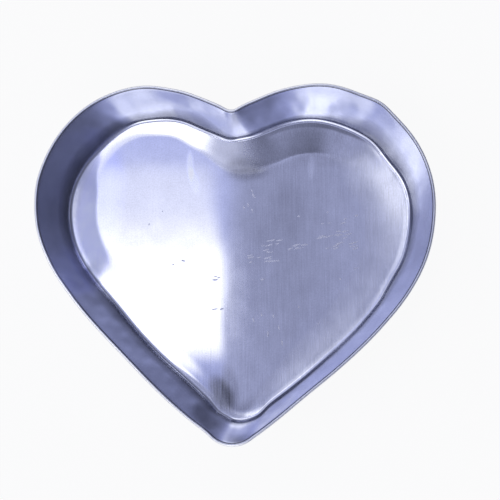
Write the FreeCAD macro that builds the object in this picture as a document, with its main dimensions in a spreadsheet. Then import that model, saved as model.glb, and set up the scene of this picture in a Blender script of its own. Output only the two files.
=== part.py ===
import FreeCAD, Part
import math
import os

import Sketcher

# Heart cake pan: one sheet of aluminium drawn into a heart, with a flat floor, a rounded
# base, a wall that flares outwards and an edge that is rolled outwards and down, and
# pressed shut against the outside of the wall.
#
# Frame: millimetres, +Z up, +Y from the tip of the heart towards its cleft. The origin is
# on the underside of the floor, on the line from tip to cleft, midway along the heart.
#
# The mould line is where the wall's inner face, carried down, would meet the floor's upper
# face. The heart is drawn on that line, and the sheet's section is swept round it.
# The right and left halves have sizes of their own, because the pan was formed by hand
# and its lobes differ a little.

# Name, size in millimetres or degrees, and what it measures
SIZES = [
    ("depth", 50.0, "inside depth, from the floor to the top of the rolled edge"),
    ("sheet", 0.8, "thickness of the aluminium sheet"),
    ("wall_flare", 9.0, "lean of the wall away from upright, degrees"),
    ("base_radius", 3.0, "inside radius between floor and wall"),
    ("roll_width", 2.4, "the rolled edge across, three layers of sheet pressed together"),
    ("roll_height", 3.2, "the rolled edge from its top to its lower edge"),
    ("tip_reach", 107.7, "origin to the tip, along -Y"),
    ("tip_radius", 11.7, "radius of the tip"),
    ("cleft_reach", 90.7, "origin to the bottom of the cleft, along +Y"),
    ("cleft_radius", 22.3, "radius of the cleft, which bulges into the pan"),
    ("right_shoulder_slope", 21.7, "rise of the straight beside the cleft, degrees"),
    ("right_shoulder", 20.0, "length of that straight"),
    ("right_crown_radius", 68.7, "radius over the top of the lobe"),
    ("right_crown_sweep", 116.0, "arc that the crown covers, degrees"),
    ("right_flank_radius", 101.2, "radius from the lobe's widest point downwards"),
    ("right_side_radius", 467.0, "radius of the long side down to the tip"),
    ("left_shoulder_slope", 23.9, "rise of the straight beside the cleft, degrees"),
    ("left_shoulder", 24.5, "length of that straight"),
    ("left_crown_radius", 60.7, "radius over the top of the lobe"),
    ("left_crown_sweep", 60.0, "arc that the crown covers, degrees"),
    ("left_flank_radius", 71.2, "radius from the lobe's top downwards"),
    ("left_side_radius", 587.0, "radius of the long side down to the tip"),
]

# How far the flat of the floor stops inside the mould line, where the base radius begins
FLOOR_INSET = "Sizes.base_radius * tan((90 deg - Sizes.wall_flare * 1 deg) / 2)"

# A sketch constraint counts an edge's start, end and centre from 1 up, and the sketch's
# own axes from -1 down
START, END, CENTRE = range(1, 4)
X_AXIS, Y_AXIS = range(-1, -3, -1)
ORIGIN = (X_AXIS, START)


def polar(degrees):
    """The unit vector at an angle from +X."""
    angle = math.radians(degrees)
    return FreeCAD.Vector(math.cos(angle), math.sin(angle))


def arc(centre, radius, first, last):
    """An arc that runs anticlockwise from the point first to the point last."""
    circle = Part.Circle(centre, FreeCAD.Vector(0, 0, 1), radius)
    return Part.ArcOfCircle(circle, circle.parameter(first), circle.parameter(last))


def make_sizes(doc):
    """Fill the spreadsheet of driving dimensions."""
    sheet = doc.addObject("Spreadsheet::Sheet", "Sizes")
    for row, (name, value, meaning) in enumerate(SIZES, start=1):
        sheet.set(f"A{row}", name)
        sheet.set(f"B{row}", str(value))
        sheet.set(f"C{row}", meaning)
        sheet.setAlias(f"B{row}", name)
    doc.recompute()
    return sheet


def new_sketch(body, name, role):
    """A sketch on one of the body's origin planes."""
    sketch = body.newObject("Sketcher::SketchObject", name)
    plane = [feature for feature in body.Origin.OriginFeatures if feature.Role == role][0]
    sketch.AttachmentSupport = [(plane, "")]
    sketch.MapMode = "FlatFace"
    return sketch


def number(item, expression):
    """The plain value of an expression in the document's sizes."""
    value = item.evalExpression(expression)
    return float(getattr(value, "Value", value))


def drive(sketch, kind, edges, expression):
    """Add a dimension to a sketch and bind it to an expression in the sizes."""
    value = number(sketch, expression)
    if kind == "Angle":
        value = math.radians(value)
    index = sketch.addConstraint(Sketcher.Constraint(kind, *edges, value))
    sketch.setExpression(f"Constraints[{index}]", expression)


def half_heart(sizes, hand):
    """Centres, meeting points and wall directions of one half of the mould line.

    hand is "right" or "left". The half is laid out from the cleft: the straight shoulder,
    the crown of the lobe, the flank, and the long side, which is tangent to the flank and
    to the tip.
    """
    turn = 1 if hand == "right" else -1
    slope = getattr(sizes, hand + "_shoulder_slope")
    crown_radius = getattr(sizes, hand + "_crown_radius")
    flank_radius = getattr(sizes, hand + "_flank_radius")
    side_radius = getattr(sizes, hand + "_side_radius")

    tip = FreeCAD.Vector(0, sizes.tip_radius - sizes.tip_reach)
    cleft = FreeCAD.Vector(0, sizes.cleft_reach + sizes.cleft_radius)
    along = polar(90 - turn * (90 - slope))
    outward = polar(90 + turn * slope)
    shoulder_low = cleft - outward * sizes.cleft_radius
    shoulder_high = shoulder_low + along * getattr(sizes, hand + "_shoulder")

    crown = shoulder_high - outward * crown_radius
    widest = polar(90 + turn * (slope - getattr(sizes, hand + "_crown_sweep")))
    flank = crown - widest * (flank_radius - crown_radius)

    # The side's centre lies where it clears the tip's centre and the flank's centre by
    # the difference of the radii
    to_tip = side_radius - sizes.tip_radius
    to_flank = side_radius - flank_radius
    gap = flank - tip
    reach = (to_tip ** 2 - to_flank ** 2 + gap.Length ** 2) / (2 * gap.Length)
    ahead = gap / gap.Length
    inward = FreeCAD.Vector(-ahead.y, ahead.x) * turn
    side = tip + ahead * reach + inward * math.sqrt(to_tip ** 2 - reach ** 2)

    return {
        "centres": {"tip": tip, "cleft": cleft, "crown": crown, "flank": flank, "side": side},
        "radii": {"crown": crown_radius, "flank": flank_radius, "side": side_radius},
        "directions": {
            "shoulder": outward,
            "widest": widest,
            "hip": (flank - side).normalize(),
            "toe": (tip - side).normalize(),
        },
    }


def draw_half(sketch, sizes, hand, inset):
    """Draw one half's shoulder, crown, flank and side, drawn in from the mould line."""
    half = half_heart(sizes, hand)
    centres, radii, facing = half["centres"], half["radii"], half["directions"]
    rim = {name: radius - inset for name, radius in radii.items()}

    cleft_edge = centres["cleft"] - facing["shoulder"] * (sizes.cleft_radius + inset)
    crown_start = centres["crown"] + facing["shoulder"] * rim["crown"]
    crown_end = centres["crown"] + facing["widest"] * rim["crown"]
    flank_end = centres["flank"] + facing["hip"] * rim["flank"]
    side_end = centres["side"] + facing["toe"] * rim["side"]
    ends = {"crown": (crown_end, crown_start), "flank": (flank_end, crown_end), "side": (side_end, flank_end)}

    edges = {"shoulder": sketch.addGeometry(Part.LineSegment(cleft_edge, crown_start))}
    for name, (lower, upper) in ends.items():
        first, last = (lower, upper) if hand == "right" else (upper, lower)
        edges[name] = sketch.addGeometry(arc(centres[name], rim[name], first, last))
    return edges, cleft_edge, side_end


def draw_heart(body, sizes, name, inset_expression):
    """Sketch the whole heart, at a distance inside the mould line."""
    sketch = new_sketch(body, name, "XY_Plane")
    inset = number(sketch, inset_expression)
    right, cleft_right, tip_right = draw_half(sketch, sizes, "right", inset)
    left, cleft_left, tip_left = draw_half(sketch, sizes, "left", inset)
    tip_centre = FreeCAD.Vector(0, sizes.tip_radius - sizes.tip_reach)
    cleft_centre = FreeCAD.Vector(0, sizes.cleft_reach + sizes.cleft_radius)
    tip = sketch.addGeometry(arc(tip_centre, sizes.tip_radius - inset, tip_left, tip_right))
    cleft = sketch.addGeometry(arc(cleft_centre, sizes.cleft_radius + inset, cleft_left, cleft_right))

    # Each half's arcs run anticlockwise, so on the left their ends are the other way round
    for edges, lower, upper in ((right, START, END), (left, END, START)):
        joints = [
            (edges["shoulder"], START, cleft, upper),
            (edges["shoulder"], END, edges["crown"], upper),
            (edges["crown"], lower, edges["flank"], upper),
            (edges["flank"], lower, edges["side"], upper),
            (edges["side"], lower, tip, upper),
        ]
        for joint in joints:
            sketch.addConstraint(Sketcher.Constraint("Tangent", *joint))
    for edge in (tip, cleft):
        sketch.addConstraint(Sketcher.Constraint("PointOnObject", edge, CENTRE, Y_AXIS))

    drive(sketch, "Radius", (tip,), f"Sizes.tip_radius - {inset_expression}")
    drive(sketch, "DistanceY", (tip, CENTRE, *ORIGIN), "Sizes.tip_reach - Sizes.tip_radius")
    drive(sketch, "Radius", (cleft,), f"Sizes.cleft_radius + {inset_expression}")
    drive(sketch, "DistanceY", (*ORIGIN, cleft, CENTRE), "Sizes.cleft_reach + Sizes.cleft_radius")
    for hand, edges in (("right", right), ("left", left)):
        rise = f"Sizes.{hand}_shoulder_slope * 1 deg"
        if hand == "left":
            rise = f"180 deg - {rise}"
        drive(sketch, "Angle", (edges["shoulder"],), rise)
        drive(sketch, "Distance", (edges["shoulder"],), f"Sizes.{hand}_shoulder")
        drive(sketch, "Angle", (edges["crown"],), f"Sizes.{hand}_crown_sweep * 1 deg")
        for edge in ("crown", "flank", "side"):
            drive(sketch, "Radius", (edges[edge],), f"Sizes.{hand}_{edge}_radius - {inset_expression}")
    return sketch


def draw_section(body, sizes):
    """Sketch the sheet's section at the tip: base radius, flared wall and rolled edge."""
    sketch = new_sketch(body, "sheet_section", "YZ_Plane")
    roll = sizes.roll_width / 2
    corner = FreeCAD.Vector(-sizes.tip_reach, sizes.sheet)
    up_wall = polar(90 + sizes.wall_flare)
    outward = polar(180 + sizes.wall_flare)

    # The base radius is struck from a point above the edge of the floor's flat
    floor_edge = corner + FreeCAD.Vector(number(sketch, FLOOR_INSET), 0)
    floor_under = floor_edge - FreeCAD.Vector(0, sizes.sheet)
    base = floor_edge + FreeCAD.Vector(0, sizes.base_radius)
    base_top = base + outward * sizes.base_radius
    base_under = base + outward * (sizes.base_radius + sizes.sheet)

    # The roll turns over a centre that stands half its width outside the wall's inner face
    roll_height = sizes.sheet + sizes.depth - roll
    on_wall = corner + outward * roll
    centre = on_wall + up_wall * ((roll_height - on_wall.y) / up_wall.y)
    roll_low = centre + outward * roll - up_wall * (sizes.roll_height - roll)
    wall_high = roll_low - outward * (sizes.roll_width - sizes.sheet)

    floor_end = sketch.addGeometry(Part.LineSegment(floor_under, floor_edge))
    base_in = sketch.addGeometry(arc(base, sizes.base_radius, base_top, floor_edge))
    wall_in = sketch.addGeometry(Part.LineSegment(base_top, centre - outward * roll))
    roll_over = sketch.addGeometry(arc(centre, roll, centre - outward * roll, centre + outward * roll))
    roll_out = sketch.addGeometry(Part.LineSegment(centre + outward * roll, roll_low))
    roll_end = sketch.addGeometry(Part.LineSegment(roll_low, wall_high))
    wall_out = sketch.addGeometry(Part.LineSegment(wall_high, base_under))
    base_out = sketch.addGeometry(arc(base, sizes.base_radius + sizes.sheet, base_under, floor_under))
    mould_corner = sketch.addGeometry(Part.Point(corner), True)

    for joint in (
        (base_in, START, wall_in, START),
        (wall_in, END, roll_over, START),
        (roll_over, END, roll_out, START),
        (wall_out, END, base_out, START),
    ):
        sketch.addConstraint(Sketcher.Constraint("Tangent", *joint))
    for joint in (
        (floor_end, END, base_in, END),
        (roll_out, END, roll_end, START),
        (roll_end, END, wall_out, START),
        (base_out, END, floor_end, START),
        (base_in, CENTRE, base_out, CENTRE),
    ):
        sketch.addConstraint(Sketcher.Constraint("Coincident", *joint))
    sketch.addConstraint(Sketcher.Constraint("Vertical", floor_end))
    sketch.addConstraint(Sketcher.Constraint("Vertical", base_in, CENTRE, floor_end, END))
    sketch.addConstraint(Sketcher.Constraint("Parallel", wall_in, roll_out))
    sketch.addConstraint(Sketcher.Constraint("Parallel", wall_in, wall_out))
    sketch.addConstraint(Sketcher.Constraint("Perpendicular", roll_out, roll_end))
    sketch.addConstraint(Sketcher.Constraint("PointOnObject", mould_corner, START, wall_in))
    sketch.addConstraint(Sketcher.Constraint("PointOnObject", floor_end, START, X_AXIS))

    drive(sketch, "DistanceX", (mould_corner, START, *ORIGIN), "Sizes.tip_reach")
    drive(sketch, "DistanceY", (*ORIGIN, mould_corner, START), "Sizes.sheet")
    drive(sketch, "Distance", (floor_end,), "Sizes.sheet")
    drive(sketch, "Radius", (base_in,), "Sizes.base_radius")
    drive(sketch, "Angle", (wall_in,), "90 deg + Sizes.wall_flare * 1 deg")
    drive(sketch, "Radius", (roll_over,), "Sizes.roll_width / 2")
    drive(sketch, "DistanceY", (*ORIGIN, roll_over, CENTRE), "Sizes.sheet + Sizes.depth - Sizes.roll_width / 2")
    drive(sketch, "Distance", (roll_out,), "Sizes.roll_height - Sizes.roll_width / 2")
    return sketch


def make_pan(doc, sizes):
    """The pan: a flat floor, and the wall swept round its edge."""
    body = doc.addObject("PartDesign::Body", "heart_pan")
    body.Label = "heart_pan"

    floor_line = draw_heart(body, sizes, "floor_line", FLOOR_INSET)
    doc.recompute()
    floor = body.newObject("PartDesign::Pad", "floor")
    floor.Profile = floor_line
    floor.setExpression("Length", "Sizes.sheet")
    doc.recompute()

    mould_line = draw_heart(body, sizes, "mould_line", "0")
    section = draw_section(body, sizes)
    doc.recompute()
    wall = body.newObject("PartDesign::AdditivePipe", "wall")
    wall.Profile = section
    wall.Spine = (mould_line, [])
    wall.Mode = "Standard"
    wall.Refine = True
    doc.recompute()
    body.Placement = FreeCAD.Placement()
    return body


def check_document(doc):
    """Stop if anything in the document failed to build."""
    for item in doc.Objects:
        if "Invalid" in item.State or "Error" in item.State:
            raise RuntimeError(f"{item.Label} did not build: {item.State}")
        if item.TypeId == "Sketcher::SketchObject" and not item.FullyConstrained:
            raise RuntimeError(f"{item.Label} is not fully constrained")


def save_part(body):
    """Check the sub-part's solid and write it to its own file."""
    shape = body.Shape
    if shape.isNull() or not shape.isValid() or len(shape.Solids) != 1:
        raise RuntimeError(f"{body.Label} is not one sound solid")
    shape.exportStep(os.path.join("parts", body.Label + ".step"))
    box = shape.optimalBoundingBox()
    print(f"{body.Label}: volume {shape.Volume:.1f} mm3, faces {len(shape.Faces)}")
    print(f"   x {box.XMin:.2f} to {box.XMax:.2f}, y {box.YMin:.2f} to {box.YMax:.2f}, z {box.ZMin:.2f} to {box.ZMax:.2f}")


doc = FreeCAD.newDocument("heart_cake_pan")
sizes = make_sizes(doc)
pan = make_pan(doc, sizes)
doc.recompute()
check_document(doc)
os.makedirs("parts", exist_ok=True)
save_part(pan)
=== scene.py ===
# %% [markdown]
# # A heart cake pan, drawn from one sheet of aluminium
#
# The real pan is a single sheet: a flat floor, a rounded base, a wall that leans outwards
# and an edge that is rolled over and pressed shut. A metal pan has almost no colour of its
# own. What the eye sees is the room, mirrored twice: once by the floor, and once more by the
# wall that stands round it. So this lesson spends its effort on three things: a true
# section, the small dents of a pan that was formed by hand, and a studio worth mirroring.

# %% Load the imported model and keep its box
import math

import bpy
import numpy as np
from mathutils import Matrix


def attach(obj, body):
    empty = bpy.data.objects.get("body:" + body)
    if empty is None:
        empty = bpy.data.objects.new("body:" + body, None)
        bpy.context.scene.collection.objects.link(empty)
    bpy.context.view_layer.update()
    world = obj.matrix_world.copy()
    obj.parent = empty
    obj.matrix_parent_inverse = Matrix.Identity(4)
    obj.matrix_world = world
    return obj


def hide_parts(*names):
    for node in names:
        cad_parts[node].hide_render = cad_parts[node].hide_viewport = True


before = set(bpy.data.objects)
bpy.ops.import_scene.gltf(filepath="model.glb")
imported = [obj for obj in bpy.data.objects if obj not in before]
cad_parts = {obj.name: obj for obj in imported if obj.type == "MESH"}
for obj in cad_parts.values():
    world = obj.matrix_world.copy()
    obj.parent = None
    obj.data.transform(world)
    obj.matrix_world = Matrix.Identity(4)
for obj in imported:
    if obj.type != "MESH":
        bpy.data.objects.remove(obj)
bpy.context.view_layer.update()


# %% [markdown]
# Sizes are written in millimetres, as a maker would say them, and Blender works in metres.
# Colours are written as the hex values of a colour picker. Those are sRGB, while the
# renderer adds up light, which is linear, so one function turns each of them over. The
# other small functions make what every later step needs: a mesh, a node, and sums of nodes.

# %% Millimetres, colours, meshes and nodes
MM = 0.001


def linear(hex_colour):
    """The linear RGBA of an sRGB hex colour such as #CED1F3."""
    channels = [int(hex_colour[start:start + 2], 16) / 255 for start in (1, 3, 5)]
    bent = [c / 12.92 if c <= 0.04045 else ((c + 0.055) / 1.055) ** 2.4 for c in channels]
    return (*bent, 1.0)


def add_mesh(name, points, faces):
    """Make a mesh object from points in metres and faces, and put it in the scene."""
    mesh = bpy.data.meshes.new(name)
    mesh.from_pydata(points, [], faces)
    mesh.validate()
    thing = bpy.data.objects.new(name, mesh)
    bpy.context.scene.collection.objects.link(thing)
    return thing


def empty_tree(owner):
    """Give a material or a world an empty node tree."""
    owner.use_nodes = True
    owner.node_tree.nodes.clear()
    return owner.node_tree


def add_node(tree, kind, settings=None, links=None):
    """Add a node, set its properties and input values, and link outputs into its inputs."""
    node = tree.nodes.new(kind)
    for name, value in (settings or {}).items():
        if isinstance(name, int):
            node.inputs[name].default_value = value
        elif name in node.inputs and not hasattr(node, name):
            node.inputs[name].default_value = value
        else:
            setattr(node, name, value)
    for name, socket in (links or {}).items():
        tree.links.new(socket, node.inputs[name])
    return node


def work_out(tree, operation, *values):
    """The result of one maths node. Each value is a number or the output of another node."""
    numbers = {slot: value for slot, value in enumerate(values) if isinstance(value, (int, float))}
    links = {slot: value for slot, value in enumerate(values) if slot not in numbers}
    return add_node(tree, "ShaderNodeMath", {"operation": operation, **numbers}, links).outputs[0]


def product(tree, first, *others):
    """All the given values multiplied together."""
    for other in others:
        first = work_out(tree, "MULTIPLY", first, other)
    return first


def add_up(tree, start, *shares):
    """A value plus each (value, factor) pair multiplied out."""
    for value, factor in shares:
        start = work_out(tree, "MULTIPLY_ADD", value, factor, start)
    return start


def mix_colours(tree, share, first, second):
    """The first colour where the share is 0, the second where it is 1. A colour may be hex."""
    colour_sockets, colour_result = (6, 7), 2        # the ones before them mix plain numbers
    node = add_node(tree, "ShaderNodeMix", {"data_type": "RGBA"}, {"Factor": share})
    for socket, colour in zip(colour_sockets, (first, second)):
        if isinstance(colour, str):
            node.inputs[socket].default_value = linear(colour)
        else:
            tree.links.new(colour, node.inputs[socket])
    return node.outputs[colour_result]


print("A mid grey of #808080 is", round(linear("#808080")[0], 3), "in linear light")


# %% [markdown]
# ## The camera
#
# The pan was photographed from above, with the camera held in front of its right lobe and
# tipped a little, so the inside of the far walls shows more than that of the near ones.
# The place and the tilt were found by laying the rim and the floor's edge over the picture.

# %% Camera
CAMERA_PLACE = (50.5, -54.0, 560.5)     # mm from the centre of the pan's underside
CAMERA_TILT = (6.67, 4.34, -0.25)       # degrees about X, Y and Z
PICTURE_PIXELS = 500
FOCAL_PIXELS = 800
SENSOR_WIDTH = 36                       # mm

camera_data = bpy.data.cameras.new("camera")
camera_data.sensor_width = SENSOR_WIDTH
camera_data.lens = SENSOR_WIDTH * FOCAL_PIXELS / PICTURE_PIXELS
camera = bpy.data.objects.new("camera", camera_data)
camera.location = [value * MM for value in CAMERA_PLACE]
camera.rotation_euler = [math.radians(value) for value in CAMERA_TILT]
bpy.context.scene.collection.objects.link(camera)
bpy.context.scene.camera = camera
bpy.context.scene.view_settings.view_transform = "Standard"
print("Lens:", round(camera_data.lens, 1), "mm")


# %% [markdown]
# ## The table
#
# The pan stands on a plain white table that runs on past the picture. A white surface under
# soft light renders as pale grey, so the camera, and anything that mirrors the table, sees
# it partly as plain white. The rest stays an ordinary matt surface, which keeps the soft
# shadow under the pan.

# %% Table
TABLE_REACH = 3000        # mm from the middle to its edge
TABLE_WHITE = "#F6F6F8"
SHARE_OF_PLAIN_WHITE = 0.92
TABLE_TOP = -0.06         # mm: it lies under the lowest swell of the pan's floor

half_side = TABLE_REACH * MM
table_corners = [(x * half_side, y * half_side, TABLE_TOP * MM)
                 for x, y in ((-1, -1), (1, -1), (1, 1), (-1, 1))]
table = add_mesh("table", table_corners, [(0, 1, 2, 3)])

# Matt white table: it gives the eye an even white ground and a soft shadow
table_paint = bpy.data.materials.new("matt_white_table")
tree = empty_tree(table_paint)
rays = add_node(tree, "ShaderNodeLightPath").outputs
seen = work_out(tree, "MAXIMUM", rays["Is Camera Ray"], rays["Is Glossy Ray"])
seen_any = work_out(tree, "MAXIMUM", seen, rays["Is Transmission Ray"])
plain_share = work_out(tree, "MULTIPLY", seen_any, SHARE_OF_PLAIN_WHITE)
matt = add_node(tree, "ShaderNodeBsdfDiffuse", {"Color": linear(TABLE_WHITE)})
plain = add_node(tree, "ShaderNodeEmission", {"Strength": 1.0})
mixed = add_node(tree, "ShaderNodeMixShader", {},
                 {0: plain_share, 1: matt.outputs[0], 2: plain.outputs[0]})
add_node(tree, "ShaderNodeOutputMaterial", {}, {"Surface": mixed.outputs[0]})
table.data.materials.append(table_paint)
print("Table:", 2 * TABLE_REACH, "mm square")


# %% [markdown]
# ## The studio that the metal mirrors
#
# A softbox hangs over the left half of the pan. Its right edge is what draws the upright
# line down the middle of the floor, because a flat, almost polished sheet mirrors a straight
# edge as a straight edge. The ceiling beside it is a dim cool grey. The walls behind the
# camera and on the left are pale, the right side of the room is dark, and so is the patch
# just in front of straight up, where the camera and its stand hide the ceiling. All that is
# dim has a blue tint, strongest within the softbox, and what is bright is white.
#
# The studio could be built from lamps and boards. Here it is painted into the world
# instead, by direction: how far a direction leans from straight up, to the right and away
# from the camera, both in degrees. That way each edge of the softbox stays where it is put,
# and the mirror images have no noise.

# %% World settings
DIM_TINT = "#D9DEFF"          # what is in shade is lit by the blue of the window
SOFTBOX_TINT = "#CCD3FF"      # where the softbox itself is dim
BRIGHT_TINT = "#FFFFFF"
TINT_ENDS = (0.85, 1.3)       # brightness over which the one hands over to the other
SOFTBOX_RIGHT = -6.1          # degrees to the right
SOFTBOX_LEFT = -18.6
SOFTBOX_BLUR = 0.9            # degrees across its edges
FAR_BLUR_STARTS = 4.0         # degrees away beyond which its right edge blurs more,
FAR_BLUR = 0.42               # and by how much more with each degree

# Brightness of the softbox by degrees away from the camera
SOFTBOX = [
    (-7, 0.3), (-3.2, 0.5), (-1.4, 0.85), (0.2, 1.8), (5.4, 1.8), (7.6, 1.3), (9.5, 1.15),
    (12.4, 1.12), (13.4, 0.98), (17, 0.9), (20, 0.7),
]

# Brightness of the room by degrees to the right, and then what it is multiplied by, by
# degrees away from the camera: on the left, overhead and on the right
ACROSS = [
    (-90, 0.3), (-70, 0.4), (-62, 1.0), (-52, 1.6), (-47, 1.3), (-41, 1.0), (-34, 1.05),
    (-28, 1.2), (-22, 1.25), (-5.5, 1.3), (-4.2, 1.2), (-1, 1.1), (2, 1.25), (7, 1.4),
    (9, 1.0), (14, 0.66), (18, 0.5), (25, 0.27), (38, 0.2), (55, 0.15), (90, 0.2),
]
AWAY_ON_LEFT = [
    (-90, 0.4), (-68, 0.5), (-60, 1.0), (-40, 0.9), (-27, 0.95), (-16, 1.8), (0, 0.8),
    (7, 0.62), (12, 0.6), (18, 0.5), (30, 0.65), (45, 0.9), (60, 0.3), (90, 0.3),
]
AWAY_OVERHEAD = [
    (-90, 0.4), (-76, 0.8), (-62, 1.6), (-52, 1.4), (-36, 1.05), (-24, 0.6), (-14, 0.24),
    (-5.3, 0.22), (-3.5, 0.5), (0, 0.48), (4, 0.45), (10, 0.46), (16, 0.46), (20, 0.64),
    (24, 0.7), (30, 0.8), (35, 1.2), (48, 1.1), (60, 0.35), (90, 0.3),
]
AWAY_ON_RIGHT = [
    (-90, 0.5), (-72, 1.2), (-58, 3.2), (-50, 1.2), (-34, 1.1), (0, 1.0), (18, 0.8),
    (25, 0.9), (37, 1.1), (52, 1.4), (66, 0.8), (90, 0.4),
]
LEFT_ENDS = (-27.5, -24.5)    # degrees to the right, over which each hands over to the next
OVERHEAD_ENDS = (12, 28)
HORIZONS = (-90, 90)          # degrees that each list spans
print("The softbox has", len(SOFTBOX), "stops, and the room across has", len(ACROSS))


# %% [markdown]
# A list of stops becomes a colour ramp, read at the angle by which a direction leans. Where
# two parts of the room meet, one hands over to the other across a few degrees.

# %% World
def lean(tree, sideways, upwards):
    """How far a direction leans from straight up, in degrees."""
    return work_out(tree, "DEGREES", work_out(tree, "ARCTAN2", sideways, upwards))


def fade(tree, value, inside, outside):
    """1 where the value is inside an edge, 0 outside it, with a soft step between."""
    step = add_node(tree, "ShaderNodeMapRange",
                    {"interpolation_type": "SMOOTHSTEP", "From Min": outside, "From Max": inside},
                    {"Value": value})
    return step.outputs[0]


def profile(tree, degrees, stops):
    """A brightness that follows a list of (degrees, brightness)."""
    low, high = HORIZONS
    along = add_node(tree, "ShaderNodeMapRange", {"From Min": low, "From Max": high},
                     {"Value": degrees})
    ramp = add_node(tree, "ShaderNodeValToRGB", {}, {0: along.outputs[0]})
    elements = ramp.color_ramp.elements
    while len(elements) < len(stops):
        elements.new(0.5)
    for element, (angle, level) in zip(elements, stops):
        element.position = (angle - low) / (high - low)
        element.color = (level, level, level, 1)
    return ramp.outputs[0]


def blend(tree, share, first, second):
    """The first value where the share is 0, the second where it is 1."""
    node = add_node(tree, "ShaderNodeMix", {"data_type": "FLOAT"},
                    {"Factor": share, "A": first, "B": second})
    return node.outputs[0]


world = bpy.data.worlds.new("studio")
bpy.context.scene.world = world
tree = empty_tree(world)
direction = add_node(tree, "ShaderNodeTexCoord").outputs["Generated"]
parts = add_node(tree, "ShaderNodeSeparateXYZ", {}, {0: direction}).outputs
lean_right = lean(tree, parts["X"], parts["Z"])
lean_away = lean(tree, parts["Y"], parts["Z"])

# The softbox's right edge is sharp near the camera and blurs more and more beyond it
further = work_out(tree, "MAXIMUM", work_out(tree, "SUBTRACT", lean_away, FAR_BLUR_STARTS), 0.0)
blur = work_out(tree, "MULTIPLY_ADD", further, FAR_BLUR, SOFTBOX_BLUR)
half_blur = work_out(tree, "MULTIPLY", blur, 0.5)
inside_right = add_node(tree, "ShaderNodeMapRange",
                        {"interpolation_type": "SMOOTHSTEP", "To Min": 1.0, "To Max": 0.0},
                        {"Value": work_out(tree, "SUBTRACT", lean_right, SOFTBOX_RIGHT),
                         "From Min": work_out(tree, "MULTIPLY", half_blur, -1.0),
                         "From Max": half_blur})
inside_left = fade(tree, lean_right, SOFTBOX_LEFT + SOFTBOX_BLUR, SOFTBOX_LEFT - SOFTBOX_BLUR)
softbox_share = product(tree, inside_right.outputs[0], inside_left,
                        work_out(tree, "GREATER_THAN", lean_away, SOFTBOX[0][0]),
                        work_out(tree, "LESS_THAN", lean_away, SOFTBOX[-1][0]))

away = blend(tree, fade(tree, lean_right, *reversed(LEFT_ENDS)),
             profile(tree, lean_away, AWAY_ON_LEFT), profile(tree, lean_away, AWAY_OVERHEAD))
away = blend(tree, fade(tree, lean_right, *reversed(OVERHEAD_ENDS)),
             away, profile(tree, lean_away, AWAY_ON_RIGHT))
room = product(tree, profile(tree, lean_right, ACROSS), away)
brightness = blend(tree, softbox_share, room, profile(tree, lean_away, SOFTBOX))
dim_tint = mix_colours(tree, softbox_share, DIM_TINT, SOFTBOX_TINT)
tint = mix_colours(tree, fade(tree, brightness, *reversed(TINT_ENDS)), dim_tint, BRIGHT_TINT)
studio = add_node(tree, "ShaderNodeBackground", {}, {"Color": tint, "Strength": brightness})

# The camera itself sees plain white past the table
white = add_node(tree, "ShaderNodeBackground", {"Strength": 1.0})
rays = add_node(tree, "ShaderNodeLightPath").outputs
mixed = add_node(tree, "ShaderNodeMixShader", {},
                 {0: rays["Is Camera Ray"], 1: studio.outputs[0], 2: white.outputs[0]})
add_node(tree, "ShaderNodeOutputWorld", {}, {"Surface": mixed.outputs[0]})
print("Softbox:", SOFTBOX_RIGHT - SOFTBOX_LEFT, "degrees wide, as seen from the pan")


# %% [markdown]
# ## The heart's outline
#
# A sheet-metal heart is drawn with a compass. The outline below is the mould line, where
# the wall's inner face, carried down, would meet the floor. Each half is a straight
# shoulder beside the cleft, a crown, a flank and a long side, and every piece is tangent to
# the next. Because a circle that is drawn larger or smaller keeps its centre, the same
# outline at any distance in or out is the same points pushed along their outward normals.
# That is how one line serves the floor, the wall and the rolled edge.

# %% Outline
TIP_REACH, TIP_RADIUS = 107.7, 11.7
CLEFT_REACH, CLEFT_RADIUS = 90.7, 22.3
HALVES = {
    1: {"slope": 21.7, "shoulder": 20.0, "crown": 68.7, "sweep": 116.0,
        "flank": 101.2, "side": 467.0},
    -1: {"slope": 23.9, "shoulder": 24.5, "crown": 60.7, "sweep": 60.0,
         "flank": 71.2, "side": 587.0},
}
FINE_STEP = 0.05          # mm between the points that the outline is first measured with
AROUND = 640              # points round the pan


def polar(degrees):
    """The unit vector at an angle from +X."""
    return np.array([math.cos(math.radians(degrees)), math.sin(math.radians(degrees))])


def walk_arc(centre, radius, first, last, bulge):
    """Points and outward normals along an arc between two unit vectors from its centre."""
    start, stop = math.atan2(first[1], first[0]), math.atan2(last[1], last[0])
    turn = (stop - start + math.pi) % (2 * math.pi) - math.pi
    steps = np.linspace(start, start + turn, max(int(abs(turn) * radius / FINE_STEP), 2))
    facing = np.stack([np.cos(steps), np.sin(steps)], axis=1)
    return centre + radius * facing, bulge * facing


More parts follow.
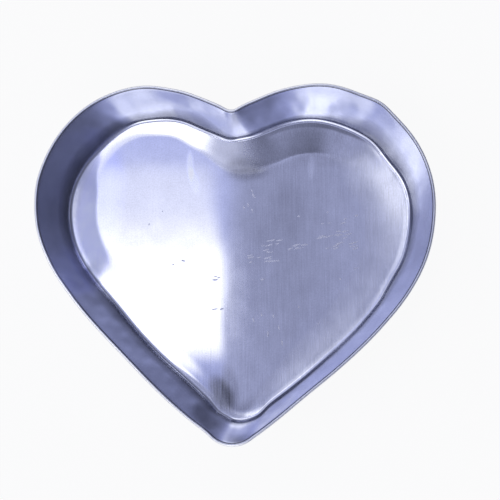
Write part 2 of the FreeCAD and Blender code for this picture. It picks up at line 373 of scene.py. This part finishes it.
def half_outline(hand):
    """One half of the mould line, from the tip to the cleft."""
    half = HALVES[hand]
    tip = np.array([0, TIP_RADIUS - TIP_REACH])
    cleft = np.array([0, CLEFT_REACH + CLEFT_RADIUS])
    outward = polar(90 + hand * half["slope"])
    low = cleft - outward * CLEFT_RADIUS
    high = low + polar(90 - hand * (90 - half["slope"])) * half["shoulder"]
    crown = high - outward * half["crown"]
    widest = polar(90 + hand * (half["slope"] - half["sweep"]))
    flank = crown - widest * (half["flank"] - half["crown"])

    # The long side's centre is as far from the tip's and the flank's as their radii say
    to_tip, to_flank = half["side"] - TIP_RADIUS, half["side"] - half["flank"]
    gap = flank - tip
    length = np.hypot(*gap)
    along = (to_tip ** 2 - to_flank ** 2 + length ** 2) / (2 * length)
    inward = np.array([-gap[1], gap[0]]) / length * hand
    side = tip + gap / length * along + inward * math.sqrt(to_tip ** 2 - along ** 2)

    toe = (tip - side) / to_tip
    hip = (flank - side) / to_flank
    straight = np.linspace(high, low, int(half["shoulder"] / FINE_STEP))
    pieces = [
        walk_arc(tip, TIP_RADIUS, polar(-90), toe, 1),
        walk_arc(side, half["side"], toe, hip, 1),
        walk_arc(flank, half["flank"], hip, widest, 1),
        walk_arc(crown, half["crown"], widest, outward, 1),
        (straight, np.tile(outward, (len(straight), 1))),
        walk_arc(cleft, CLEFT_RADIUS, -outward, polar(-90), -1),
    ]
    return [np.concatenate(group) for group in zip(*pieces)]


def mould_line():
    """Points once round, anticlockwise from the tip and evenly spaced, their outward normals,
    their distances along the line, and its whole length."""
    right_points, right_normals = half_outline(1)
    left_points, left_normals = half_outline(-1)
    fine_points = np.concatenate([right_points, left_points[::-1]])
    fine_normals = np.concatenate([right_normals, left_normals[::-1]])
    passed = np.concatenate([[0], np.cumsum(np.hypot(*np.diff(fine_points, axis=0).T))])
    places = np.arange(AROUND) * passed[-1] / AROUND
    even = [np.interp(places, passed, values) for values in (*fine_points.T, *fine_normals.T)]
    facing = np.stack(even[2:], axis=1)
    facing /= np.hypot(*facing.T)[:, None]
    return np.stack(even[:2], axis=1), facing, places, passed[-1]


line, outward_normals, walked, girth = mould_line()
print("Once round the mould line:", round(girth, 1), "mm")


# %% [markdown]
# ## The sheet's section
#
# Cut through the wall, the sheet turns up from the floor in a rounded base, runs up with a
# lean of nine degrees, turns over at the top and lies pressed against its own outside. The
# section is a closed line of (out, up) pairs, out from the mould line and up from the
# table. The lower edge of the roll is rounded too, because a sheared edge that has been
# pressed over has no sharp corner left.

# %% Section
DEPTH, SHEET, FLARE, BASE_RADIUS = 50.0, 0.8, 9.0, 3.0
ROLL_WIDTH, ROLL_HEIGHT, ROLL_CORNER = 2.4, 3.2, 0.4

lean_out = np.array([math.sin(math.radians(FLARE)), math.cos(math.radians(FLARE))])
face_out = np.array([math.cos(math.radians(FLARE)), -math.sin(math.radians(FLARE))])
floor_inset = BASE_RADIUS * math.tan(math.radians(90 - FLARE) / 2)


def arc_points(centre, radius, start, stop, count):
    """Points along an arc of the section, the last one left out."""
    angles = np.radians(np.linspace(start, stop, count, endpoint=False))
    return centre + radius * np.stack([np.cos(angles), np.sin(angles)], axis=1)


def straight_points(start, stop, count):
    """Points along a straight of the section, the last one left out."""
    return np.linspace(start, stop, count, endpoint=False)


base_centre = np.array([-floor_inset, SHEET + BASE_RADIUS])
wall_foot = base_centre + face_out * BASE_RADIUS
roll_centre_height = SHEET + DEPTH - ROLL_WIDTH / 2
wall_length = (roll_centre_height - wall_foot[1] - face_out[1] * ROLL_WIDTH / 2) / lean_out[1]
wall_top = wall_foot + lean_out * wall_length
roll_centre = wall_top + face_out * ROLL_WIDTH / 2
roll_side = roll_centre + face_out * ROLL_WIDTH / 2
roll_low = roll_side - lean_out * (ROLL_HEIGHT - ROLL_WIDTH / 2 - ROLL_CORNER)
corner_centre = roll_low - face_out * ROLL_CORNER
corner_end = corner_centre - lean_out * ROLL_CORNER
under_top = wall_top + face_out * SHEET - lean_out * (ROLL_HEIGHT - ROLL_WIDTH / 2)
corner_in = (wall_top + face_out * (SHEET + ROLL_CORNER)
             - lean_out * (ROLL_HEIGHT - ROLL_WIDTH / 2))
under_foot = base_centre + face_out * (BASE_RADIUS + SHEET)

# The last value in each call is how many points that stretch gets
inside_and_roll = [
    arc_points(base_centre, BASE_RADIUS, -90, -FLARE, 14),
    straight_points(wall_foot, wall_top, 14),
    arc_points(roll_centre, ROLL_WIDTH / 2, 180 - FLARE, -FLARE, 14),
    straight_points(roll_side, roll_low, 3),
    arc_points(corner_centre, ROLL_CORNER, -FLARE, -90 - FLARE, 5),
    straight_points(corner_end, corner_in, 2),
    straight_points(corner_in, under_top, 2),
]
outside = [
    straight_points(under_top, under_foot, 10),
    arc_points(base_centre, BASE_RADIUS + SHEET, -FLARE, -90, 10),
    [[-floor_inset, 0.0]],
]
first_outer = sum(len(stretch) for stretch in inside_and_roll)
section = np.concatenate(inside_and_roll + outside)
print("Section points:", len(section), "and the floor's flat stops", round(floor_inset, 2),
      "mm inside")


# %% [markdown]
# ## The dents
#
# The pan was formed and rolled by hand, and its rim is not the clean curve of the drawing.
# Seen from above it wanders by a millimetre or two, with a plain corner where the right
# lobe turns down. The floor's edge wanders on its own account, because the sheet was beaten
# down against the base and not against the rim. Each push below is a place along the mould
# line from the tip, how far its effect reaches along the line, and how far it goes out.
# Between floor and rim a point takes its share of both.

# %% Dents
RIM_PUSHES = [
    (0, 8, 0.4), (51, 24, -1.1), (108, 18, 0.4), (163, 22, 0.7), (262, 9, 1.7), (293, 17, 1.3),
    (358, 9, -1.4), (405, 12, -1.0), (436, 16, -0.4), (510, 10, 0.4), (555, 12, -0.5),
    (596, 26, 1.0), (672, 22, 0.5), (705, 8, -0.6),
]
FLOOR_PUSHES = [
    (0, 8, -1.0), (14, 8, 1.9), (61, 40, 0.5), (102, 18, 0.7), (145, 13, -1.5),
    (237, 15, -2.6), (274, 22, -1.4), (355, 7, 1.3), (407, 14, 0.9), (436, 12, 1.2),
    (469, 10, -0.6), (512, 20, 0.9), (562, 14, -0.6), (598, 18, -0.8), (674, 22, -1.1),
    (701, 7, 1.4),
]


def pushed(pushes):
    """How far the line goes out at each point round the pan, in mm."""
    total = np.zeros(AROUND)
    for place, reach, push in pushes:
        away_along = (walked - place + girth / 2) % girth - girth / 2
        total += push * np.exp(-(away_along / reach) ** 2)
    return total


rim_push, floor_push = pushed(RIM_PUSHES), pushed(FLOOR_PUSHES)
print("The rim wanders from", round(rim_push.min(), 1), "to", round(rim_push.max(), 1), "mm")


# %% [markdown]
# ## The floor's border
#
# The middle of the floor is flat, and a strip along its edge slopes up to the base radius.
# It shows as a crescent on the left and as bands beside the far lobes, because a slope of
# five degrees turns the mirrored room by ten. The slope was left by hand: up to ten degrees
# in a wide strip round the right lobe, about six in a narrower one round the left lobe, and
# little down the long sides. It is given at places along the mould line and blended between
# them.

# %% Border
# Place along the mould line, slope in degrees, width of the strip and of the bend inside it
# in mm, how many degrees more the very edge curls up, and how much rougher the strip is than
# the flat, where the sheet was stretched
BORDER = [
    (0, 3.0, 5, 3.5, 2.5, 0.07), (9, 2.4, 5, 3.5, 2, 0.09), (22, 0.8, 11, 7, 1.2, 0.06),
    (60, 2.1, 20, 15, 1.5, 0.10), (110, 3.3, 26, 20, 2, 0.13), (150, 3.6, 28, 22, 5, 0.13),
    (185, 5.4, 34, 30, 7, 0.2), (208, 8.8, 37, 35, 5, 0.19), (228, 9.0, 37, 35, 5, 0.19),
    (245, 5.0, 38, 32, 6, 0.2), (262, 6.4, 29, 14, 5, 0.1), (280, 9.0, 25, 5, 5, 0.03),
    (300, 9.8, 25, 4, 4, 0), (340, 10.5, 25, 4, 2, 0.05), (350, 10, 25, 6, 0, 0.15),
    (358, 9.5, 24, 9, 0, 0.26), (365, 8.9, 20, 12, 0, 0.3), (371, 8.1, 16, 9, 0, 0.26),
    (378, 6.8, 14, 6, 0, 0.14), (386, 5.9, 13.6, 3, 0, 0.02), (396, 5.8, 12.4, 3, 0, 0),
    (408, 5.8, 11.2, 3, 0, 0), (420, 5.8, 10.5, 3, 0, 0), (436, 4.8, 10.5, 6, 1, 0),
    (455, 4.2, 9.5, 8, 1, 0), (472, 4.4, 8.5, 6, 1, 0.05), (488, 5.8, 11, 3, -1, 0.12),
    (500, 6.3, 16.5, 2, -2.8, 0.14), (512, 6.3, 18.3, 2, -2.8, 0.14),
    (530, 6.3, 18.3, 2, -2.8, 0.14), (552, 6.3, 18, 2, -2.8, 0.14),
    (564, 5.8, 18.5, 4, -2.4, 0.14), (578, 1.6, 18, 9, 0, 0.08), (592, 1.1, 15, 7, 0, 0.04),
    (690, 0.5, 12, 5, 3, 0), (708, 3.0, 5, 3.5, 3, 0.07),
]
EDGE_CURL_WIDTH = 3.0     # mm


def border_round():
    """Slope, width, bend, curl and roughness of the border at each point round the pan."""
    places, *columns = zip(*BORDER)
    degrees, width, bend, curl, rough = [
        np.interp(walked, places, column, period=girth) for column in columns]
    return np.tan(np.radians(degrees)), width, bend, np.tan(np.radians(curl)), rough


def border_height(distance, slope, width, bend, curl):
    """Height of the floor above its flat middle, at a distance in from its edge."""
    bent = np.clip((width - distance) / bend, 0, 1)
    beyond = np.maximum(width - bend - distance, 0)
    curled = np.clip(1 - distance / EDGE_CURL_WIDTH, 0, 1) ** 2 * EDGE_CURL_WIDTH / 2
    return slope * (bend * (bent ** 3 - bent ** 4 / 2) + beyond) + curl * curled


*border, border_roughness = border_round()
edge_rise = border_height(np.zeros(AROUND), *border)
print("The floor's edge stands", round(edge_rise.min(), 2), "to", round(edge_rise.max(), 2),
      "mm above its middle")


# %% [markdown]
# The wall was beaten against its die as well, and carries shallow waves that can be felt
# more than seen. They die out at the floor and at the roll. Each is a height, how many waves
# go round the pan, how many millimetres up the wall one wave takes, and where it starts.

# %% Wall waves
WAVES = [(0.16, 19, 95, 40), (0.09, 34, -70, 130), (0.05, 57, 60, 250), (0.03, 88, -40, 10)]


def wave(up):
    """How far the wall goes out at each point round the pan, at one height, in mm."""
    total = np.zeros(AROUND)
    for rise, count, climb, start in WAVES:
        turns = count * walked / girth + up / climb
        total += rise * np.sin(2 * math.pi * turns + math.radians(start))
    return total * math.sin(math.pi * np.clip((up - SHEET) / (DEPTH - ROLL_HEIGHT), 0, 1))


def ring(out, up):
    """The points of one ring round the pan, in metres."""
    risen = np.clip((up - SHEET) / DEPTH, 0, 1)
    distance = out + rim_push * risen + floor_push * (1 - risen) + wave(up)
    spots = line + outward_normals * distance[:, None]
    return np.column_stack([spots, up + edge_rise * (1 - risen)]) * MM


wall_rings = [ring(out, up) for out, up in section]
print("Wall:", len(wall_rings), "rings of", AROUND, "points")


# %% [markdown]
# ## The floor
#
# The floor could be one flat face, but a flat face mirrors the softbox with a ruler-straight
# edge. Real sheet has been stretched at its rim and lies a few hundredths of a millimetre
# out of flat, and a mirror doubles every slope. So the floor is a set of rings that shrink
# towards its middle, with a swell far too small to feel. The rings lie closest where the
# border bends.

# %% Floor rings
FLOOR_RINGS, UNDERSIDE_RINGS = 62, 12
FLOOR_MIDDLE = np.array([0.0, -4.0])       # mm, the point that the rings shrink to
# Each swell: mm high, mm from crest to crest, its heading and where it starts, in degrees
SWELLS = [(0.020, 150, 70, 20), (0.012, 74, -15, 200), (0.008, 46, 35, 95)]
EDGE_FADE = 0.12          # share of the floor's reach over which the swell dies out
CROWDING = 1.7            # above 1, the rings crowd towards the edge
ROUGHNESS_RISE = 4        # how much faster than its slope the border's roughness sets in
BLEND = 1.5               # mm over which the border's sizes blend from place to place


def swell(spots):
    """How far the floor lies out of flat at each point, in mm."""
    height = np.zeros(len(spots))
    for rise, length, heading, phase in SWELLS:
        along = spots @ polar(heading)
        height += rise * np.sin(2 * math.pi * along / length + math.radians(phase))
    return height


def edge_normals(edge):
    """Outward unit normals of a closed line of points that runs anticlockwise."""
    along = np.roll(edge, -1, axis=0) - np.roll(edge, 1, axis=0)
    across = np.stack([along[:, 1], -along[:, 0]], axis=1)
    return across / np.hypot(*across.T)[:, None]


def floor_rings(edge, level, count):
    """Rings from just inside an edge to near the middle, and how rough the border is there."""
    edge_mm = edge[:, :2] / MM
    facing = edge_normals(edge_mm)
    rings, roughness = [], []
    for step in range(1, count):
        size = 1 - (step / count) ** CROWDING
        spots = FLOOR_MIDDLE + (edge_mm - FLOOR_MIDDLE) * size

        # How far in from the edge each spot is, and the border's sizes there
        apart = edge_mm[None, :, :] - spots[:, None, :]
        gaps = np.hypot(apart[..., 0], apart[..., 1])
        nearest = gaps.argmin(axis=1)
        distance = (apart[np.arange(AROUND), nearest] * facing[nearest]).sum(axis=1)
        closeness = np.exp((gaps.min(axis=1)[:, None] - gaps) / BLEND)
        closeness /= closeness.sum(axis=1)[:, None]
        local = [closeness @ values for values in border]

        fading = min((1 - size) / EDGE_FADE, 1.0)
        height = level + swell(spots) * fading ** 2 * (3 - 2 * fading)
        height += border_height(distance, *local)
        rings.append(np.column_stack([spots, height]) * MM)
        _, width, bend, _ = local
        set_in = np.clip(ROUGHNESS_RISE * (width - distance) / bend, 0, 1)
        roughness.append(closeness @ border_roughness * set_in)
    return rings, roughness


upper_rings, upper_roughness = floor_rings(wall_rings[0], SHEET, FLOOR_RINGS)
under_rings, under_roughness = floor_rings(wall_rings[-1], 0.0, UNDERSIDE_RINGS)
print("Floor:", len(upper_rings), "rings above and", len(under_rings), "below")


# %% [markdown]
# ## The pan as one mesh
#
# The rings follow each other from the middle of the floor outwards, up the wall, over the
# roll, down the outside and back under the floor. Four-sided faces join each ring to the
# next, and a fan of triangles closes the floor's middle above and below.

# %% Pan mesh
all_rings = upper_rings[::-1] + wall_rings + under_rings
middle_swell = swell(FLOOR_MIDDLE[None, :])[0]
middles = np.array([[*FLOOR_MIDDLE, SHEET + middle_swell], [*FLOOR_MIDDLE, middle_swell]])
points = np.concatenate([*all_rings, middles * MM])
upper_middle, under_middle = len(points) - 2, len(points) - 1

faces = []
column = np.arange(AROUND)
following = (column + 1) % AROUND
for row in range(len(all_rings) - 1):
    low, high = row * AROUND, (row + 1) * AROUND
    around = [low + column, high + column, high + following, low + following]
    faces += np.stack(around, axis=1).tolist()
last = (len(all_rings) - 1) * AROUND
upper_fan = [column, following, np.full(AROUND, upper_middle)]
under_fan = [last + following, last + column, np.full(AROUND, under_middle)]
faces += np.stack(upper_fan, axis=1).tolist()
faces += np.stack(under_fan, axis=1).tolist()

pan = add_mesh("drawn_pan", points.tolist(), faces)
pan.data.shade_smooth()
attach(pan, "root")
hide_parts("heart_pan")
print("Pan:", len(points), "points and", sum(len(face) - 2 for face in faces), "triangles")


# %% [markdown]
# ## Where the sheet is rubbed, and where shade and highlights are painted on it
#
# A new sheet leaves the mill evenly smooth. Drawing it over the die leaves the wall duller
# than the floor, and stretches the border until it is dull too. Shade is painted into the
# crease round the floor, under the lip of the roll and along its outer edge, and highlights
# are painted on the top of the roll and along the foot of the wall. The roughness and the
# painted light are both kept as numbers on the mesh's points, which the metal reads. The
# painted value takes light away, and below 0 it is a painted highlight.

# %% Rubbed, with painted shade and highlights
WALL_RUBBED = 0.15                # how much rougher the wall is than the floor
WALL_STARTS = (-1.0, 1.5)         # mm above the table, over which that sets in
ROLL_RUBBED = 0.25
ROLL_FACE = 0.01                  # mm out from the wall's inner face, where the roll begins
CREASE_PAINTED_SHADE = 0.66                # share of light taken away by the painted shade in the crease
CREASE_HEIGHT = 10.0              # mm up the wall to where the painted shade ends
CREASE_POWER = 0.7                # below 1, the painted shade stays dark for longer on its way up
# Painted shade under the lip of the roll and along its outer edge
LIP_PAINTED_SHADE = 0.62
LIP_STARTS, LIP_ENDS = 0.2, 1.1   # mm out from where the wall meets the roll
EDGE_PAINTED_SHADE = 0.35
EDGE_STARTS = 0.75                # share of the roll's width
ROLL_PAINTED_HIGHLIGHT = 0.7                   # how much brighter the painted highlight makes the top of the roll
ROLL_HIGHLIGHT_MIDDLE, ROLL_HIGHLIGHT_REACH = 1.4, 1.0      # mm out from where the wall meets the roll
FOOT_PAINTED_HIGHLIGHT = 0.12                 # how much brighter the painted highlight makes the foot of the wall
FOOT_MIDDLE, FOOT_REACH = 0.12, 0.3           # share of the base radius's height

# How high the painted shade in the crease reaches: place along the mould line, and share of the
# height
CREASE_WIDTHS = [
    (0, 0.8), (20, 0.9), (60, 1.2), (140, 1.3), (180, 1.5), (205, 2.1), (235, 2.5),
    (262, 2.3), (284, 1.1), (298, 0.5), (345, 0.5), (359, 0.4), (372, 1.2), (386, 2.5),
    (402, 1.8), (420, 1.0), (450, 1.4), (480, 2.0), (520, 1.6), (570, 1.7), (640, 1.7),
    (700, 1.3),
]

wall_rubbed, wall_painted_light = [], []
crease = CREASE_HEIGHT * np.interp(walked, *zip(*CREASE_WIDTHS), period=girth)
for number, (out, up) in enumerate(section):
    rubbed_here = WALL_RUBBED * np.clip((up - WALL_STARTS[0]) / np.ptp(WALL_STARTS), 0, 1)
    past = (np.array([out, up]) - wall_top) @ face_out
    on_roll = up > roll_low[1] and past > ROLL_FACE
    painted_light_here = np.zeros(AROUND)
    # Painted shade in the crease round the floor, fading up the wall, and a painted highlight
    # along the wall's foot
    if number < first_outer and not on_roll:
        crease_shade = np.clip(1 - (up - SHEET - BASE_RADIUS) / crease, 0, 1)
        rise = np.clip((up - SHEET) / BASE_RADIUS, 0, 1)
        painted_light_here += CREASE_PAINTED_SHADE * crease_shade ** CREASE_POWER * rise
        painted_light_here -= FOOT_PAINTED_HIGHLIGHT * np.clip(1 - abs(rise - FOOT_MIDDLE) / FOOT_REACH, 0, 1)
    # On the roll: painted shade under its lip and along its outer edge, and a painted highlight on
    # its top
    if on_roll:
        edge_start = ROLL_WIDTH * EDGE_STARTS
        painted_light_here += LIP_PAINTED_SHADE * np.clip((LIP_ENDS - past) / (LIP_ENDS - LIP_STARTS), 0, 1)
        painted_light_here += EDGE_PAINTED_SHADE * np.clip((past - edge_start) / (ROLL_WIDTH - edge_start), 0, 1)
        painted_light_here -= ROLL_PAINTED_HIGHLIGHT * np.clip(1 - abs(past - ROLL_HIGHLIGHT_MIDDLE) / ROLL_HIGHLIGHT_REACH, 0, 1)
        rubbed_here = ROLL_RUBBED
    wall_rubbed.append(np.full(AROUND, rubbed_here))
    wall_painted_light.append(painted_light_here)

# The floor and the underside get no painted shade or highlight
unpainted = np.zeros(AROUND)
point_values = {
    "rubbed": upper_roughness[::-1] + wall_rubbed + under_roughness,
    "painted_shade_and_highlight": [unpainted] * len(upper_rings) + wall_painted_light + [unpainted] * len(under_rings),
}
for name, rows in point_values.items():
    attribute = pan.data.attributes.new(name, "FLOAT", "POINT")
    values = np.concatenate([*rows, np.zeros(len(middles))])
    attribute.data.foreach_set("value", values.astype(np.float32))
    print(name, "goes up to", round(float(values.max()), 2))


# %% [markdown]
# ## The metal
#
# Mill-finish aluminium: cold-rolled sheet that has been drawn but never polished. It
# mirrors the room, a little blurred, and the rolls have left fine lines along the sheet,
# which run from the cleft to the tip. The real lines are a few hundredths of a millimetre
# apart, too fine for the picture, so they are drawn half a millimetre apart. Under them the
# film of use is patchy. A violet tint and extra lightness are painted over the left of the
# floor, a painted reflection of the softbox where the border mirrors it as a crescent, and
# a finger, a cloth and a burnt crumb have left marks of their own. Each mark is an ellipse
# on the upper side of the sheet: its middle, its half length and half width, its heading,
# how much light it takes away and how much rougher it makes the metal.

# %% Aluminium
ALUMINIUM = "#DADDEE"
# Painted reflection: a violet tint and extra lightness over the crescent where the border mirrors
# the softbox
CRESCENT_PAINTED_TINT = "#CFD3FF"
PAINTED_CRESCENT = (-101, 34, 72, 20, 82)   # x, y, half length, half width (mm), heading (degrees)
CRESCENT_PAINTED_LIGHT = 0.22                 # how much lighter the painted crescent looks than bare metal
FLOOR_ROUGHNESS = 0.05
LINE_SPACING = 0.5                # mm, drawn coarser than the real rolling lines
LINE_LENGTH = 22                  # mm
LINE_DEPTH = 0.0004               # mm
LINE_SHADE = 0.30                 # how far the lines lighten and darken the metal
PATCH_SIZE, PATCH_SHADE = 14, 0.26            # mm across a patch of film
PATCH_ROUGHNESS = 0.04
GRAIN_SIZE, GRAIN_SHADE = 1.0, 0.26           # mm across a pore, drawn coarser than the real
WIPED = (-62, 62, 105, 85, 0)     # an ellipse like the film's, where lines are rubbed away
WIPED_SHARE = 0.75
MARK_CORE = 0.6                   # how far in from its edge a mark is at its full strength
SMEAR = 0.3                       # how much more the lines show through the dark marks

# x, y, half length, half width (mm), heading (degrees), light taken away, roughness added
MARKS = [
    (-12, -88, 17, 9.5, -62, 0.46, 0.05),     # the burnt smudge near the tip, and round it
    (-6, -84, 20, 8, -84, 0.26, 0.04),
    (-34.5, 73, 15, 3.6, -88, -0.26, 0.10),   # light streaks left of the cleft
    (-31.5, 62, 13, 4.6, -74, -0.26, 0.10),
    (52, 70, 13, 3.5, 88, -0.10, 0.10),       # a faint one right of it
    (60, 77, 24, 9, -8, 0.08, 0.0),           # shaded patches of the right half
    (30, 34, 34, 22, 60, 0.08, 0.0),
    (-1, -14, 60, 12, -88, -0.06, 0.02),      # a wiped stroke down the middle
    (5, 70, 20, 12, 0, 0.26, 0.04),           # a darker grey patch below the cleft
    (8, 66.5, 18, 6, 0, 0.16, 0.05),
]


def noise(tree, place, sizes, detail):
    """Noise whose grains have the given sizes in mm along X, Y and Z, less its middle."""
    mapped = add_node(tree, "ShaderNodeMapping",
                      {"Scale": [1 / (size * MM) for size in sizes]}, {"Vector": place})
    cloud = add_node(tree, "ShaderNodeTexNoise", {"Scale": 1.0, "Detail": detail},
                     {"Vector": mapped.outputs[0]})
    return work_out(tree, "SUBTRACT", cloud.outputs["Fac"], 0.5)


def upper_side_of_sheet(tree, place):
    """1 on the inside of the pan and 0 on its underside."""
    height = add_node(tree, "ShaderNodeSeparateXYZ", {}, {0: place}).outputs["Z"]
    step = add_node(tree, "ShaderNodeMapRange",
                    {"From Min": SHEET * MM / 4, "From Max": SHEET * MM / 2}, {"Value": height})
    return step.outputs[0]


def mark(tree, place, upper_side, x, y, half_length, half_width, heading):
    """1 in the middle of an ellipse on the upper side, falling to 0 at its edge."""
    mapped = add_node(tree, "ShaderNodeMapping",
                      {"vector_type": "TEXTURE", "Location": (x * MM, y * MM, 0),
                       "Rotation": (0, 0, math.radians(heading)),
                       "Scale": (half_length * MM, half_width * MM, 1.0)}, {"Vector": place})
    ball = add_node(tree, "ShaderNodeTexGradient", {"gradient_type": "SPHERICAL"},
                    {"Vector": mapped.outputs[0]})
    soft = add_node(tree, "ShaderNodeMapRange",
                    {"interpolation_type": "SMOOTHSTEP", "From Max": MARK_CORE},
                    {"Value": ball.outputs["Fac"]})
    return product(tree, soft.outputs[0], upper_side)


metal = bpy.data.materials.new("mill_finish_aluminium")
tree = empty_tree(metal)
place = add_node(tree, "ShaderNodeTexCoord").outputs["Object"]
lines = noise(tree, place, (LINE_SPACING, LINE_LENGTH, LINE_SPACING), 1.0)
patches = noise(tree, place, (PATCH_SIZE, PATCH_SIZE, PATCH_SIZE), 3.0)
grain = noise(tree, place, (GRAIN_SIZE, GRAIN_SIZE, GRAIN_SIZE), 2.0)
relief = add_node(tree, "ShaderNodeBump", {"Strength": 1.0, "Distance": LINE_DEPTH * MM},
                  {"Height": lines})
rubbed = add_node(tree, "ShaderNodeAttribute", {"attribute_name": "rubbed"}).outputs["Fac"]
painted_shade_and_highlight = add_node(tree, "ShaderNodeAttribute", {"attribute_name": "painted_shade_and_highlight"}).outputs["Fac"]

upper_side = upper_side_of_sheet(tree, place)
# The painted crescent, and the painted shade and highlights kept on the points, change the metal's
# colour
painted_crescent = mark(tree, place, upper_side, *PAINTED_CRESCENT)
darkening, roughening = [(painted_shade_and_highlight, -1.0), (painted_crescent, CRESCENT_PAINTED_LIGHT)], [(rubbed, 1.0)]
roughening.append((patches, PATCH_ROUGHNESS))
for *ellipse, taken, roughened in MARKS:
    spot = mark(tree, place, upper_side, *ellipse)
    darkening.append((spot, -taken))
    roughening.append((spot, roughened))
    if taken > 0:
        darkening.append((product(tree, spot, lines), SMEAR * taken))

unwiped = add_up(tree, 1.0, (mark(tree, place, upper_side, *WIPED), -WIPED_SHARE))
lined = product(tree, lines, unwiped)
shade = add_up(tree, 1.0, (lined, LINE_SHADE), (patches, PATCH_SHADE), (grain, GRAIN_SHADE),
               *darkening)
colour = add_node(tree, "ShaderNodeVectorMath", {"operation": "SCALE"},
                  {0: mix_colours(tree, painted_crescent, ALUMINIUM, CRESCENT_PAINTED_TINT), "Scale": shade})
roughness = add_up(tree, FLOOR_ROUGHNESS, *roughening)
surface = add_node(tree, "ShaderNodeBsdfPrincipled", {"Metallic": 1.0},
                   {"Base Color": colour.outputs[0], "Roughness": roughness,
                    "Normal": relief.outputs[0]})
add_node(tree, "ShaderNodeOutputMaterial", {}, {"Surface": surface.outputs[0]})
pan.data.materials.append(metal)
print("Aluminium in linear light:", [round(value, 2) for value in linear(ALUMINIUM)[:3]])


# %% [markdown]
# ## The scratches
#
# Years of cutting out cakes have left short scratches in the floor, most of them in a few
# tight bunches and nearly parallel, as a knife leaves them. A knife throws up a burr, so
# each scratch is a sliver of torn metal that stands a few hundredths of a millimetre proud
# and is far rougher than the sheet: it scatters light that the sheet mirrors away. They
# could be painted, but then they would vanish from the exported shape.

# %% Scratches
SCRATCH_RISE = 0.03               # mm above the sheet along its middle,
SCRATCH_SINK = 0.005              # and mm below it along its two sides
SCRATCH_PARTS = 6                 # lengths that one scratch is made of
SCRATCH_LENGTHS = (0.5, 1.25)     # shares of its bunch's usual length
SCRATCH_TURN = 9                  # degrees to either side of its bunch's heading
SCRATCH_WIDTHS = (0.8, 1.4)       # mm, drawn broader than the real ones so that they show
SCRATCH_BOW = 0.06                # share of its length that it bows to either side
SCRATCH_END = 0.02                # square of the share of its width that is left at its ends
SCRATCH_SEED = 11

# Bunches: x, y, spread in x and in y (mm), how many, usual length and heading (degrees)
BUNCHES = [
    (26, 18, 5, 4, 5, 4.5, 14), (21, 12, 5, 3, 4, 4.0, 10), (12, 6, 4, 3, 4, 4.5, 16),
    (44, 13.5, 5, 2, 5, 5.0, 12), (24, 6, 4, 3, 5, 5.0, 12), (39, 13, 3, 3, 3, 4.5, 25),
    (61, 20, 5, 2, 5, 5.5, 12), (75, 22, 5, 3, 7, 5.0, 10), (75, 14, 7, 2.5, 7, 6.0, 14),
    (76, 31, 3, 2, 2, 4.5, 20), (94, 39, 3, 3, 4, 3.5, 8), (94, 21, 3, 4, 4, 3.0, 30),
    (8, 47, 4, 8, 5, 3.5, -70), (-15, -7, 3, 2, 3, 4.0, 10), (-14, -29, 3, 1.5, 2, 4.0, 15),
    (-38, 6, 2, 2, 1, 3.0, -20), (35, -35, 30, 25, 8, 3.5, -85), (45, 15, 40, 25, 12, 3.0, 15),
    (-55, 25, 25, 25, 3, 1.5, 40),
]

draw = np.random.default_rng(SCRATCH_SEED)
steps = np.linspace(-0.5, 0.5, SCRATCH_PARTS + 1)
swelling = 1 - 4 * steps ** 2             # 0 at both ends of a scratch and 1 in its middle
corners, strips = [], []
for x, y, spread_x, spread_y, count, usual, heading in BUNCHES:
    for _ in range(count):
        middle = np.array([x, y]) + draw.uniform(-1, 1, 2) * (spread_x, spread_y)
        length = usual * draw.uniform(*SCRATCH_LENGTHS)
        turn = heading + draw.uniform(-SCRATCH_TURN, SCRATCH_TURN)
        width = draw.uniform(*SCRATCH_WIDTHS)
        bow = draw.uniform(-SCRATCH_BOW, SCRATCH_BOW) * length
        forward, sideways = polar(turn), polar(turn + 90)
        spine = middle + np.outer(steps * length, forward) + np.outer(bow * swelling, sideways)
        half_widths = width / 2 * np.sqrt(np.maximum(swelling, SCRATCH_END))
        start = len(corners)
        for spot, half_width, ground in zip(spine, half_widths, SHEET + swell(spine)):
            for side, rise in ((1, -SCRATCH_SINK), (0, SCRATCH_RISE), (-1, -SCRATCH_SINK)):
                corner = spot + sideways * half_width * side
                corners.append((*corner * MM, (ground + rise) * MM))
        for part in range(SCRATCH_PARTS):
            for side in (0, 1):
                a = start + part * 3 + side
                strips.append((a, a + 1, a + 4, a + 3))

scratches = add_mesh("floor_scratches", corners, strips)
scratches.data.shade_smooth()
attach(scratches, "root")
print("Scratches:", len(strips) // (2 * SCRATCH_PARTS))


# %% [markdown]
# Torn aluminium has no mirror left in it. It gives the eye a dull pale glint from every
# side, which is why a scratch shows light on the dark half of the floor and grey on the
# bright half.

# %% Torn aluminium
TORN_ALUMINIUM = "#D6D8E8"
TORN_ROUGHNESS, TORN_UNEVEN = 0.42, 0.3       # usual roughness, and how far it varies
TORN_GRAIN_SIZE = 0.4                         # mm

torn = bpy.data.materials.new("torn_aluminium")
tree = empty_tree(torn)
place = add_node(tree, "ShaderNodeTexCoord").outputs["Object"]
burr = noise(tree, place, (TORN_GRAIN_SIZE, TORN_GRAIN_SIZE, TORN_GRAIN_SIZE), 1.0)
surface = add_node(tree, "ShaderNodeBsdfPrincipled",
                   {"Base Color": linear(TORN_ALUMINIUM), "Metallic": 1.0},
                   {"Roughness": add_up(tree, TORN_ROUGHNESS, (burr, TORN_UNEVEN))})
add_node(tree, "ShaderNodeOutputMaterial", {}, {"Surface": surface.outputs[0]})
scratches.data.materials.append(torn)
print("Torn aluminium in linear light:", [round(v, 2) for v in linear(TORN_ALUMINIUM)[:3]])
